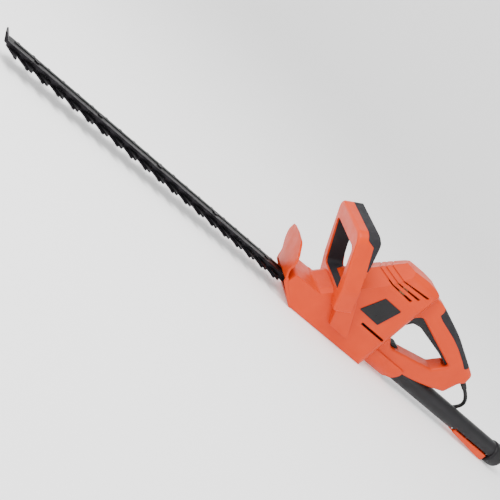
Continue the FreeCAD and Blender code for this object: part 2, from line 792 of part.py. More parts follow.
def loop_block():
    """The loop as a solid block: its face outline, its side outline and its rounded back crossed."""
    half = loop_open_half + loop_leg
    top = loop_open_height + loop_bar
    face = plan_prism([
        (-30, -half + 8, 4), (-30, half - 8, 4), (10, half, 40), (top, half - 3, 18), (top, -half + 3, 18),
        (10, -half, 40)], 0, loop_depth + 10)
    face = face.makeFillet(5.0, [edge for edge in face.Edges if edge.BoundBox.ZMax < 0.01])
    side = side_prism([
        (-40, -1, 0), (-40, loop_leg_depth, 0), (top - 73, loop_leg_depth, 30),
        (top - 15, loop_depth, 12), (top + 1, loop_depth - 5, 6), (top + 1, -1, 0)], -100, 100)
    back = end_prism([
        (-half - 1, -1, 0), (half + 1, -1, 0), (half + 1, loop_leg_depth - 2, 2),
        (half - 5, loop_depth + 1, 8), (-half + 5, loop_depth + 1, 8),
        (-half - 1, loop_leg_depth - 2, 2)], -50, 120)
    return face.common(side).common(back)


def loop_opening(grow=0.0, start=-60):
    """Hand opening of the loop, run well past its back, grown by the lining's thickness where asked."""
    half = loop_open_half + grow
    low = -grow
    high = loop_open_height + grow
    return plan_prism([(low, -half + 6, 8), (low, half - 6, 8), (high, half, 9), (high, -half, 9)], start, 90)


def loop_back_region():
    """Where the loop is soft moulding: its back, the lining and a block for the switch bar."""
    top = loop_open_height + loop_bar
    behind = side_prism([
        (top + 9, loop_bar_depth, 0), (top - 9, loop_bar_depth, 4), (top - 18, loop_leg_depth - 2, 4),
        (top - 60, loop_leg_depth, 0), (top - 60, 90, 0), (top + 9, 90, 0)], -100, 100)
    lining = loop_opening(loop_lining, loop_lip)
    block = box(loop_open_height - 2, top - 6, -loop_open_half + 3.5, loop_open_half - 3.5,
                switch_bar_front - 7, loop_depth)
    return behind.fuse(lining).fuse(block)


def leg_fairing():
    """Leg that carries the loop down the left side of the body."""
    low = Part.makePolygon([Vector(-33, body_half - 2, 24), Vector(9, body_half - 2, 24), Vector(9, 46, 24),
                            Vector(-33, 46, 24), Vector(-33, body_half - 2, 24)])
    outer = loop_open_half + loop_leg
    high = Part.makePolygon([Vector(38, body_half - 2, 112), Vector(66, body_half - 2, 112),
                             Vector(66, outer - 1, 112), Vector(38, outer - 1, 112),
                             Vector(38, body_half - 2, 112)])
    return Part.makeLoft([low, high], True, True)


def front_handle_shell():
    """Front moulding of the loop with its two legs, which run down the sides of the body."""
    whole = loop_block()
    body = loop_place(whole)
    fairing = leg_fairing()
    above_foot = loop_place(plan_prism([(-90, -80, 0), (-90, 80, 0), (30, 80, 0), (30, -80, 0)], -40, 90))
    for leg in (fairing, mirrored(fairing)):
        body = body.fuse(leg.common(above_foot))
    body = body.cut(loop_place(whole.common(loop_back_region())))
    body = body.cut(loop_place(loop_opening(loop_lining, loop_lip)))
    body = body.cut(loop_place(loop_opening()))
    body = body.cut(body_block(0))
    for place in loop_screws():
        body = body.cut(loop_screw_rod(place, screw_core, screw_tip, screw_seat))
    between_legs = box(-100, 60, -body_half, body_half, 0, 200)
    low = loop_place(plan_prism([(-90, -80, 0), (-90, 80, 0), (-31, 80, 0), (-31, -80, 0)], -60, 90))
    return largest(body.cut(between_legs.common(low)).removeSplitter())


def largest(shape):
    """The biggest solid of a shape."""
    return max(shape.Solids, key=lambda solid: solid.Volume)


def loop_screws():
    """Screws from the back of the loop, as (height, side)."""
    side = loop_open_half + loop_leg / 2 - 0.5
    height = loop_open_height + loop_bar / 2
    return ((height - 30, side), (height - 30, -side), (height, side - 4), (height, -side + 4))


def loop_screw_rod(place, radius, start, end):
    """Round bar along one of the loop's screws between two depths."""
    height, side = place
    return loop_place(rod(radius, Vector(height, side, start), Vector(height, side, end)))


def front_handle_back():
    """Back moulding of the loop, soft to the touch, with the lining and room for the switch bar."""
    body = loop_block().common(loop_back_region()).cut(loop_opening())
    low = loop_open_height - 2
    behind = switch_bar_front + switch_bar_thick + 0.5
    body = body.cut(box(low, loop_open_height + 12, -43, 43, switch_bar_front - 0.5, behind))
    body = loop_place(body).cut(front_switch()).cut(body_block(0))
    for place in loop_screws():
        body = body.cut(loop_screw_rod(place, screw_core, screw_tip, loop_depth + 5))
        body = body.cut(loop_screw_rod(place, screw_head + 0.1, screw_seat, loop_depth + 5))
    return largest(body)


def front_handle_screws():
    """Screws that hold the two mouldings of the loop together."""
    screws = []
    for place in loop_screws():
        shank = loop_screw_rod(place, screw_core, screw_tip, screw_seat)
        head = loop_screw_rod(place, screw_head, screw_seat, screw_seat + 2.2)
        socket = loop_screw_rod(place, 1.4, screw_seat + 1.0, screw_seat + 5)
        screws.append(fuse([shank, head]).cut(socket))
    return screws


def front_switch_bar():
    """Bar under the loop's top that the fingers squeeze."""
    return loop_place(box(loop_open_height - switch_travel, loop_open_height + 4.0, -42, 42, switch_bar_front,
                          switch_bar_front + switch_bar_thick))


def switch_bar_springs():
    """Return springs above the switch bar."""
    middle = switch_bar_front + switch_bar_thick / 2
    return [loop_place(tube(2.4, 1.6, Vector(loop_open_height + 4, y, middle),
                            Vector(loop_open_height + 12, y, middle))) for y in (-30, 30)]


def front_switch():
    """Small switch in the loop's top bar."""
    return loop_place(box(loop_open_height + 9.0, loop_open_height + 22, -8, 8, switch_bar_front - 0.5,
                          switch_bar_front + switch_bar_thick - 0.5))


# ------------------------------------------------------------------ rear handle pieces
def trigger_pivot(y):
    """Centre of the trigger's pivot at a given y."""
    return (-224.0, y, 98.5)


def trigger():
    """Long trigger under the rear grip."""
    body = side_prism([
        (-107.5, 97, 1.5), (-113, 96.5, 2), (-120, 107, 8), (-136, 110, 20), (-200, 98, 30),
        (-230, 89.5, 2), (-230.5, 99, 3), (-222, 103, 2), (-122, 128.5, 4), (-110, 117, 6)],
        -trigger_half, trigger_half)
    body = round_edges(body, 1.5, lambda e: in_plane_y(trigger_half)(e) or in_plane_y(-trigger_half)(e))
    return body.cut(rod(2.0 + bearing_gap, Vector(*trigger_pivot(-20)), Vector(*trigger_pivot(20))))


def trigger_slot():
    """Room for the trigger inside the handle over its whole swing."""
    half = trigger_half + slide_gap + 0.2
    return side_prism([
        (-99.5, 96, 0), (-99.5, 122, 4), (-114, 139, 6), (-128, 138.5, 6), (-222, 106.5, 6), (-233, 101, 3),
        (-233, 86, 0), (-200, 90, 0), (-120, 95, 0)], -half, half)


def trigger_spring():
    """Return spring between the trigger and the handle."""
    return tube(2.6, 1.8, Vector(-165, 0, 118.6), Vector(-165, 0, 124.7))


def trigger_switch():
    """Main switch above the front of the trigger."""
    return side_prism([(-153.5, 139, 1), (-153.5, 151.5, 1), (-129.5, 156, 1), (-129.5, 141, 1)], -9.5, 9.5)


def clamp_block():
    """Outline of the cord clamp."""
    return box(-266, -256, -8, 8, 92, 107)


def cord_clamp():
    """Saddle that grips the cord inside the handle."""
    start = Vector(*cord_route[0])
    return clamp_block().cut(rod(cord_radius, start - exit_direction() * 80, start))


# ------------------------------------------------------------------ pole
def pole_socket():
    """Collar that the pole plugs into, cut back on the slant at its rear."""
    axis_front = Vector(-100, 0, pole_z)
    outer = rod(socket_radius, axis_front, Vector(-182, 0, pole_z))
    trim = side_prism([(-95, -5, 0), (-95, 36, 0), (-176, 36, 0), (-174, 27, 4), (-166, 12, 3), (-158, 9, 3),
                       (-157, -5, 0)], -40, 40)
    flat = box(-200, -90, -17.5, 17.5, 1.0, 36)
    collar = outer.common(trim).common(box(-200, -90, -30, 30, 1.0, 60))
    collar = collar.common(flat.fuse(rod(socket_radius, axis_front, Vector(-200, 0, pole_z))))
    collar = collar.cut(rod(pole_radius + slide_gap, Vector(-108, 0, pole_z), Vector(-200, 0, pole_z)))
    mouth = rod(grip_radius + slide_gap, Vector(grip_front + 0.5, 0, pole_z), Vector(-200, 0, pole_z))
    return collar.cut(mouth)


def pole_room():
    """Clearance for the pole behind and inside the socket."""
    return rod(grip_radius + 0.6, Vector(grip_front + 0.5, 0, pole_z), Vector(-330, 0, pole_z)).fuse(
        rod(pole_radius + slide_gap, Vector(-108, 0, pole_z), Vector(-160, 0, pole_z)))


def lever_room(half):
    """Room under the pole for the lever over its whole swing, narrower at its pivot."""
    main = box(lever_rear - 1.5, lever_front - 10, -half, half, 0, lever_roof)
    side = lever_nose + slide_gap
    nose = box(lever_front - 10, lever_front + 1.5, -side, side, 0, lever_roof + 1)
    return main.fuse(nose)


def pole_tube():
    """Metal tube of the pole, slotted underneath for the lever."""
    body = tube(pole_radius, pole_radius - pole_wall, Vector(pole_front, 0, pole_z),
                Vector(pole_rear, 0, pole_z))
    body = body.cut(lever_room(20))
    return body.cut(rod(1.5, Vector(*lever_pivot(-30)), Vector(*lever_pivot(30))))


def pole_grip():
    """Sleeve over the tube, cut away underneath for the lever."""
    body = tube(grip_radius, pole_radius, Vector(grip_front, 0, pole_z), Vector(pole_rear, 0, pole_z))
    body = body.cut(lever_room(20))
    return body.cut(rod(1.5, Vector(*lever_pivot(-30)), Vector(*lever_pivot(30))))


def pole_pommel():
    """Rounded end of the pole, hanging lower than the tube."""
    z = 0.8 + pommel_radius
    front = pole_rear + 7
    knob = rod(pommel_radius, Vector(front, 0, z), Vector(pommel_rear, 0, z))
    knob = knob.makeFillet(12.0, [edge for edge in knob.Edges if edge.BoundBox.XMax < pommel_rear + 0.1])
    knob = knob.makeFillet(5.0, [edge for edge in knob.Edges if edge.BoundBox.XMin > front - 0.1])
    room = rod(grip_radius, Vector(front + 5, 0, pole_z), Vector(pole_rear, 0, pole_z))
    return largest(knob.cut(room))


def paddle_lever():
    """Paddle under the pole that wraps up its sides, with a narrow nose at its pivot."""
    half = lever_half
    body = side_prism([
        (lever_front - 11, 8.0, 1), (lever_front - 11, 15.0, 1), (lever_rear, pole_z - 9.8, 2),
        (lever_rear, 1.4, 3), (lever_rear + 12, 1.2, 3)], -half, half)
    body = round_edges(body, 2.0, lambda e: in_plane_y(half)(e) or in_plane_y(-half)(e))
    trough = side_prism([
        (lever_front - 15, 11.0, 0), (lever_front - 15, 30, 0), (lever_rear + 3, 30, 0),
        (lever_rear + 3, 4.2, 0)],
        -half + 2.5, half - 2.5)
    nose = side_prism([
        (lever_front, 9.0, 2), (lever_front, 17.5, 3), (lever_front - 16, 17.5, 1),
        (lever_front - 16, 8.0, 1)],
        -lever_nose, lever_nose)
    body = fuse([body.cut(trough), nose])
    return body.cut(rod(1.5 + bearing_gap, Vector(*lever_pivot(-30)), Vector(*lever_pivot(30))))


def lever_pivot(y):
    """Centre of the paddle's pivot at a given y."""
    return (lever_front - 4.5, y, 13.8)


def release_slider():
    """Catch for the pole in the lower front corner of the finger opening."""
    foot = box(-136, -122, -6, 6, 44, 53)
    knob = side_prism([(-137, 50, 0), (-137, 59, 2), (-128, 60.5, 3), (-121, 57, 3), (-121, 50, 0)], -8, 8)
    return fuse([foot, knob.common(box(-137, -121, -8, 8, 55.0, 70)).fuse(box(-136, -122, -6, 6, 52, 56))])


def slider_room():
    """Slot in the lower arm for the catch and its travel."""
    return box(-142.5, -121.4, -6.4, 6.4, 43.2, 60).fuse(box(-143, -120.6, -8.4, 8.4, 54.4, 70))


# ------------------------------------------------------------------ cord and plug
cord_exit = Vector(-283.5, 0, 88.3)
cord_route = (
    (-301.3, 0.0, 79.1), (-319.1, 0.0, 69.9), (-336.0, -9.1, 52.4), (-341.6, -25.9, 33.3),
    (-336.8, -39.0, 14.2), (-322.5, -51.5, 4.6), (-296.5, -61.6, 4.3), (-265.0, -68.0, 4.3),
    (-232.0, -71.6, 4.4), (-200.0, -73.0, 5.4), (-170.0, -73.0, 8.6), (-142.0, -73.0, 8.6))


def cord_path(points):
    """Straight runs joined by tangent arcs, each as large as its two runs allow."""
    nodes = [Vector(*point) for point in points]
    edges = []
    radii = []
    last = nodes[0]
    for i in range(1, len(nodes) - 1):
        back = nodes[i - 1] - nodes[i]
        ahead = nodes[i + 1] - nodes[i]
        reach = 0.45 * min(back.Length, ahead.Length)
        half = back.getAngle(ahead) / 2
        radius = reach * math.tan(half)
        back.normalize()
        ahead.normalize()
        middle = back + ahead
        middle.normalize()
        centre = nodes[i] + middle * (radius / math.sin(half))
        start = nodes[i] + back * reach
        end = nodes[i] + ahead * reach
        edges.append(Part.LineSegment(last, start).toShape())
        edges.append(Part.Arc(start, centre - middle * radius, end).toShape())
        radii.append(round(radius, 1))
        last = end
    edges.append(Part.LineSegment(last, nodes[-1]).toShape())
    return Part.Wire(edges), radii


def power_cord():
    """Rubber lead, a round tube along its route."""
    path, radii = cord_path(cord_route)
    start = Vector(*cord_route[0])
    direction = Vector(*cord_route[1]) - start
    ring_edge = Part.makeCircle(cord_radius, start, direction)
    solid = path.makePipeShell([Part.Wire([ring_edge])], True, True)
    expected = math.pi * cord_radius ** 2 * path.Length
    ratio = round(solid.Volume / expected, 4)
    print("cord radii", radii, "length", round(path.Length, 1), "volume ratio", ratio)
    return solid


def exit_direction():
    """Unit vector along which the cord leaves the handle."""
    direction = Vector(*cord_route[0]) - cord_exit
    return direction.normalize()


def sleeve_outline():
    """Tapered outline of the strain relief, seated in the handle and standing out of it."""
    root = cord_exit - exit_direction() * sleeve_seat
    length = sleeve_seat + (Vector(*cord_route[0]) - cord_exit).Length
    return Part.makeCone(sleeve_radius, cord_radius + 1.0, length, root, exit_direction())


def cord_sleeve():
    """Strain relief with the lead's hole through it, ending where the free cord starts."""
    reach = exit_direction() * 60
    return sleeve_outline().cut(rod(cord_radius, cord_exit - reach, cord_exit + reach))


def inner_cord():
    """The lead from the strain relief's end to the clamp inside the handle."""
    return rod(cord_radius, cord_exit - exit_direction() * 33, Vector(*cord_route[0]))


def plug_frame(shape):
    """Moves a shape from the plug's own frame (x along the pins) to the end of the cord."""
    end = Vector(*cord_route[-1])
    before = Vector(*cord_route[-2])
    moved = shape.copy()
    moved.Placement = Placement(end, Rotation(X_AXIS, end - before))
    return moved


def plug_body():
    """Slim two-pin plug lying on its flat side."""
    body = end_prism([(-16, -8, 5), (16, -8, 5), (16, 8, 5), (-16, 8, 5)], 16, 46)
    neck = Part.makeCone(5.0, 7.6, 18, Vector(0, 0, 0), X_AXIS)
    return plug_frame(fuse([body, neck]))


def plug_pins():
    """Two round pins."""
    pins = []
    for y in (-pin_spacing / 2, pin_spacing / 2):
        pins.append(plug_frame(rod(pin_radius, Vector(46, y, 0), Vector(46 + pin_length, y, 0))))
    return pins


# ------------------------------------------------------------------ output
def save(name, solids):
    """Writes one node, as one solid or a group of separate solids."""
    shape = solids if not isinstance(solids, (list, tuple)) else Part.makeCompound(list(solids))
    shape.exportStep("parts/" + name + ".step")
    sound = all(solid.isValid() for solid in shape.Solids)
    box_ = shape.BoundBox
    print(f"{name:22s} solids {len(shape.Solids):3d} valid {sound} volume {shape.Volume / 1000:8.2f} cm3 "
          f"x {box_.XMin:.0f}..{box_.XMax:.0f} y {box_.YMin:.0f}..{box_.YMax:.0f} z {box_.ZMin:.1f}..{box_.ZMax:.1f}")


def main():
    os.makedirs("parts", exist_ok=True)
    shell = housing()
    save("left_housing", largest(shell.common(box(-400, 200, 0, 80, -10, 250))))
    save("right_housing", largest(shell.common(box(-400, 200, -80, 0, -10, 250))))
    save("housing_screws", housing_screws())
    save("hand_guard", hand_guard())
    save("side_badges", badges())
    save("rear_grip_pad", rear_grip_pad(rear_handle()))
    save("bottom_cover", bottom_cover())
    save("gearcase", gearcase())
    save("gearcase_screws", gearcase_screws())
    save("guide_bar", guide_bar())
    save("blade_bolts", blade_bolts())
    save("blade_nuts", blade_nuts())
    save("crank_bushes", crank_bushes())
    save("front_handle_shell", front_handle_shell())
    save("front_handle_back", front_handle_back())
    save("front_handle_screws", front_handle_screws())
    save("front_switch", front_switch())
    save("front_switch_bar", front_switch_bar())
    save("switch_bar_springs", switch_bar_springs())
    save("stator_core", stator_core())
    save("stator_windings", [ring(29.0, rotor_radius + 1.0, motor_top, motor_top + 5),
                             ring(26.5, rotor_radius + 1.0, motor_bottom - 8, motor_bottom)])
    save("motor_bearings", [ring(bearing_radius, shaft_radius + bearing_gap, case_top - 3, case_top + 4),
                            ring(bearing_radius, shaft_radius + bearing_gap, bridge_z, bridge_top)])
    save("brush_holders", [brush_box(1), brush_box(-1)])
    save("carbon_brushes", [brush(1), brush(-1)])
    save("trigger_switch", trigger_switch())
    save("capacitor", rod(8.0, Vector(-82, -15, 20), Vector(-82, 15, 20)))
    save("cord_clamp", cord_clamp())
    save("cord_sleeve", cord_sleeve())
    save("inner_cord", inner_cord())
    save("pole_socket", pole_socket())
    save("trigger_pin", rod(2.0, Vector(*trigger_pivot(-14)), Vector(*trigger_pivot(14))))
    save("trigger_spring", trigger_spring())
    save("rotor_shaft", rotor_shaft())
    save("rotor_core", ring(rotor_radius, shaft_radius, motor_bottom + 2, motor_top - 2))
    save("rotor_windings", [ring(19.0, shaft_radius, motor_bottom - 6, motor_bottom + 2),
                            ring(19.0, shaft_radius, motor_top - 2, motor_top + 4)])
    save("commutator", ring(12.0, shaft_radius, motor_top + 5, motor_top + 18))
    save("fan", fan())
    save("pinion", spur_gear(pinion_teeth, 0.0, motor_x, 3.0, gear_bottom, gear_top))
    save("drive_gear", drive_gear())
    save("crank_shaft", crank_shaft())
    save("upper_rod", connecting_rod(crank_x + stroke_radius, upper_rod_bottom, upper_rod_top))
    save("lower_rod", connecting_rod(crank_x - stroke_radius, lower_rod_bottom, lower_rod_top))
    save("upper_blade", upper_blade())
    save("lower_blade", lower_blade())
    save("trigger", trigger())
    save("pole_tube", pole_tube())
    save("pole_grip", pole_grip())
    save("pole_pommel", pole_pommel())
    save("pole_switch", box(-404, -382, -pole_switch_half, pole_switch_half, pole_z - 2, pole_z + 2.5))
    save("paddle_lever", paddle_lever())
    save("lever_pin", rod(1.5, Vector(*lever_pivot(-12.8)), Vector(*lever_pivot(12.8))))
    save("lever_spring", tube(2.4, 1.6, Vector(-392, 0, 9.2), Vector(-392, 0, pole_z - 2)))
    save("release_slider", release_slider())
    save("release_spring", tube(2.4, 1.6, Vector(-142.4, 0, 48), Vector(-136, 0, 48)))
    save("power_cord", power_cord())
    save("plug_body", plug_body())
    save("plug_pins", plug_pins())


if __name__ == "__main__":
    main()
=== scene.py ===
# %% [markdown]
# # A hedge trimmer, dressed for the studio
# The working model of the trimmer comes in as a fixed frame: every screw, gear and shell is already in
# its place, in metres. This lesson gives it a camera, lays its lead, makes a finish for each material, and
# sets it on a floor under soft light.

# %% Load the frame
import json
import math
import bpy
import numpy as np
from mathutils import Matrix, Vector


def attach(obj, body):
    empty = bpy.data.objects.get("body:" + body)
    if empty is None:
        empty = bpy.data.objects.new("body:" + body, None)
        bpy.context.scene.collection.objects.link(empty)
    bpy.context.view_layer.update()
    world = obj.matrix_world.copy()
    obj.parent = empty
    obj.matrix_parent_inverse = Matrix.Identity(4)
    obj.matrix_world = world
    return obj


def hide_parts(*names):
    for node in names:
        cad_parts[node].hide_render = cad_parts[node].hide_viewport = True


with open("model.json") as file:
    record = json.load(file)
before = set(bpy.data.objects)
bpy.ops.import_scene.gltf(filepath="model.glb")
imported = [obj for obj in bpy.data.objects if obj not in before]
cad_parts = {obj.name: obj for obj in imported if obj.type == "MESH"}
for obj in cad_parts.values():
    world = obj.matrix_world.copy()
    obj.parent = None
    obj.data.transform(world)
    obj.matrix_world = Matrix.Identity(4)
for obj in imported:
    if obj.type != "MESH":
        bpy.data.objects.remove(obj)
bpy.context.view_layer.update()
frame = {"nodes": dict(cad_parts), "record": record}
nodes = frame["nodes"]

# %% [markdown]
# ## The camera
# The tool is seen from its left, a little from the front and a little from above, and the picture is
# turned so that the long blade runs from corner to corner. The camera is placed by its own position, by
# the direction it looks in, and by how far it is rolled about that direction. Those three facts are
# turned into the three axes of the camera's matrix, which is easier to read than three Euler angles.

# %% Place the camera
CAMERA_PLACE = Vector((0.845, 1.341, 0.424))
CAMERA_AIM = Vector((0.1794, 0.0, 0.0196))
CAMERA_ROLL = math.radians(47.6)
CAMERA_LENS = 71.86
SENSOR_WIDTH = 36.0


def add_camera():
    """Camera whose right-hand axis is the level one turned about the line of sight by the roll."""
    data = bpy.data.cameras.new("camera")
    data.lens = CAMERA_LENS
    data.sensor_width = SENSOR_WIDTH
    camera = bpy.data.objects.new("camera", data)
    bpy.context.scene.collection.objects.link(camera)
    forward = (CAMERA_AIM - CAMERA_PLACE).normalized()
    level = forward.cross(Vector((0, 0, 1))).normalized()
    above = level.cross(forward)
    right = level * math.cos(CAMERA_ROLL) + above * math.sin(CAMERA_ROLL)
    up = right.cross(forward)
    camera.matrix_world = Matrix((
        (right.x, up.x, -forward.x, CAMERA_PLACE.x),
        (right.y, up.y, -forward.y, CAMERA_PLACE.y),
        (right.z, up.z, -forward.z, CAMERA_PLACE.z),
        (0, 0, 0, 1)))
    bpy.context.scene.camera = camera
    return camera


camera = add_camera()
print("camera at", [round(v, 3) for v in camera.location])

# %% [markdown]
# ## The lead
# A lead is a fixed length of rubber with copper inside, so it can't be bent sharply and it falls to the
# floor as soon as nothing holds it. One smooth NURBS line does that: its points are the places that the
# lead is drawn towards, and the line cuts inside them, as a stiff lead does. It leaves the sleeve in
# line with it, drops behind the pole and lies beside the body with its plug.

# %% Lay the lead
LEAD_RADIUS = 0.0035
LEAD_ROUTE = (
    (-0.3013, 0.0, 0.0791), (-0.3191, 0.0, 0.0699), (-0.3360, -0.0091, 0.0524), (-0.3416, -0.0259, 0.0333),
    (-0.3368, -0.0390, 0.0142), (-0.3225, -0.0515, 0.0046), (-0.2965, -0.0616, 0.0043),
    (-0.2650, -0.0680, 0.0043), (-0.2320, -0.0716, 0.0044), (-0.2000, -0.0730, 0.0054),
    (-0.1700, -0.0730, 0.0086), (-0.1420, -0.0730, 0.0086))


def lay_lead(route, radius):
    """Round tube about a NURBS line of order 3 that starts and ends at its end points.

    The tube's radius is the bevel depth times each point's radius. It is kept on the points, because
    Blender counts a point's radius into the curve's box, and the default of 1 m would swell that box.
    """
    curve = bpy.data.curves.new("lead", "CURVE")
    curve.dimensions = "3D"
    curve.resolution_u = 12
    curve.bevel_depth = 1.0
    curve.bevel_resolution = 6
    curve.use_fill_caps = True
    spline = curve.splines.new("NURBS")
    spline.points.add(len(route) - 1)
    for point, place in zip(spline.points, route):
        point.co = (*place, 1.0)
        point.radius = radius
    spline.order_u = 3
    spline.use_endpoint_u = True
    piece = bpy.data.objects.new("lead", curve)
    bpy.context.scene.collection.objects.link(piece)
    return piece


lead = lay_lead(LEAD_ROUTE, LEAD_RADIUS)
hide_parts("power_cord")
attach(lead, "housing")
print("lead through", len(LEAD_ROUTE), "points")

# %% [markdown]
# ## Building blocks for finishes
# Every finish here starts from the Principled shader. Its pattern is worked out in space, in metres, from
# Object coordinates, so the grain of a moulded shell is as fine on a small lever as on the body. A
# Bevel node softens the sharp edges of the frame's solids by half a millimetre in the light only.

# %% Finish helpers
PLASTIC_SPECULAR = 0.22
COLOUR_PATCHES = 28.0
GLOSS_PATCHES = 60.0
GRAIN_HEIGHT = 0.00006
METAL_LINES = 900.0
LINE_HEIGHT = 0.00003


class Finish:
    """One material being built: keeps its node tree and joins nodes by name."""

    def __init__(self, name, color, roughness, metallic=0.0):
        self.material = bpy.data.materials.new(name)
        self.material.use_nodes = True
        self.tree = self.material.node_tree
        self.shader = self.tree.nodes["Principled BSDF"]
        self.shader.inputs["Base Color"].default_value = (*color, 1.0)
        self.shader.inputs["Roughness"].default_value = roughness
        self.shader.inputs["Metallic"].default_value = metallic
        if metallic == 0.0:
            self.shader.inputs["Specular IOR Level"].default_value = PLASTIC_SPECULAR
        self.coords = self.tree.nodes.new("ShaderNodeTexCoord").outputs["Object"]
        self.normal = None

    def node(self, kind, **settings):
        made = self.tree.nodes.new("ShaderNode" + kind)
        for key, value in settings.items():
            setattr(made, key, value)
        return made

    def link(self, source, target):
        self.tree.links.new(source, target)

    def noise(self, scale, detail=3.0, stretch=None):
        """Noise about 1/scale metres across; stretch scales each axis on its own."""
        made = self.node("TexNoise")
        made.inputs["Scale"].default_value = scale
        made.inputs["Detail"].default_value = detail
        source = self.coords
        if stretch:
            mapping = self.node("Mapping")
            mapping.inputs["Scale"].default_value = stretch
            self.link(self.coords, mapping.inputs["Vector"])
            source = mapping.outputs["Vector"]
        self.link(source, made.inputs["Vector"])
        return made.outputs["Fac"]

    def spread(self, value, low, high):
        """Carries a noise value from its usual 0.3..0.7 onto low..high."""
        made = self.node("MapRange")
        made.inputs["From Min"].default_value = 0.3
        made.inputs["From Max"].default_value = 0.7
        made.inputs["To Min"].default_value = low
        made.inputs["To Max"].default_value = high
        self.link(value, made.inputs["Value"])
        return made.outputs["Result"]

    def tint(self, value, first, second):
        """Mixes two colours by a value from 0 to 1."""
        made = self.node("Mix", data_type="RGBA")
        made.inputs[6].default_value = (*first, 1.0)
        made.inputs[7].default_value = (*second, 1.0)
        self.link(value, made.inputs[0])
        self.link(made.outputs[2], self.shader.inputs["Base Color"])
        return made

    def soften(self, radius):
        """Rounds edges in the light by this radius, in metres."""
        made = self.node("Bevel", samples=6)
        made.inputs["Radius"].default_value = radius
        self.normal = made.outputs["Normal"]
        self.link(self.normal, self.shader.inputs["Normal"])

    def bump(self, height, distance, strength=1.0):
        """Raises the surface by a height pattern; several bumps chain."""
        made = self.node("Bump")
        made.inputs["Strength"].default_value = strength
        made.inputs["Distance"].default_value = distance
        self.link(height, made.inputs["Height"])
        if self.normal:
            self.link(self.normal, made.inputs["Normal"])
        self.normal = made.outputs["Normal"]
        self.link(self.normal, self.shader.inputs["Normal"])


def moulded(name, color, worn, roughness, grain=2600.0, soft=0.0006):
    """Spark-textured plastic: fine grain, slow changes of gloss, and a faint change of colour."""
    finish = Finish(name, color, roughness)
    finish.soften(soft)
    finish.tint(finish.spread(finish.noise(COLOUR_PATCHES, 4.0), 0.0, 1.0), color, worn)
    finish.link(finish.spread(finish.noise(GLOSS_PATCHES, 5.0), roughness - 0.05, roughness + 0.08),
                finish.shader.inputs["Roughness"])
    finish.bump(finish.noise(grain, 2.0), GRAIN_HEIGHT, 0.35)
    return finish


def metal(name, color, roughness, stretch, soft=0.0003):
    """Worked metal: fine lines along the way it was ground or drawn."""
    finish = Finish(name, color, roughness, 1.0)
    finish.soften(soft)
    lines = finish.noise(METAL_LINES, 3.0, stretch)
    finish.link(finish.spread(lines, roughness - 0.08, roughness + 0.12), finish.shader.inputs["Roughness"])
    finish.bump(lines, LINE_HEIGHT, 0.3)
    return finish


# %% [markdown]
# ## Grip texture
# The soft grips carry a fine pattern of crossing grooves so that a wet hand holds them. The grooves could
# be cut as geometry, but less than 2 mm apart they would only add triangles. Two sets of stripes on the
# diagonals of Object space give the same pattern, and the higher of the two is the height.

# %% Cross-hatched grip
HATCH_PITCH = 0.0030
HATCH_HEIGHT = 0.00015


def hatched(name, color, worn, roughness, pitch):
    """Moulded rubber whose height is the greater of two sine stripes, at plus and minus 45 degrees.

    Each set of stripes is the sine of the distance along its diagonal, one turn for every pitch.
    """
    finish = moulded(name, color, worn, roughness, grain=2200.0)
    split = finish.node("SeparateXYZ")
    finish.link(finish.coords, split.inputs[0])
    stripes = []
    for operation in ("ADD", "SUBTRACT"):
        level = finish.node("Math", operation=operation)
        finish.link(split.outputs["X"], level.inputs[0])
        finish.link(split.outputs["Y"], level.inputs[1])
        raised = finish.node("Math", operation=operation)
        finish.link(level.outputs[0], raised.inputs[0])
        finish.link(split.outputs["Z"], raised.inputs[1])
        turns = finish.node("Math", operation="MULTIPLY")
        finish.link(raised.outputs[0], turns.inputs[0])
        turns.inputs[1].default_value = 2 * math.pi / pitch
        wave = finish.node("Math", operation="SINE")
        finish.link(turns.outputs[0], wave.inputs[0])
        stripes.append(wave.outputs[0])
    height = finish.node("Math", operation="MAXIMUM")
    finish.link(stripes[0], height.inputs[0])
    finish.link(stripes[1], height.inputs[1])
    finish.bump(height.outputs[0], HATCH_HEIGHT, 0.5)
    return finish


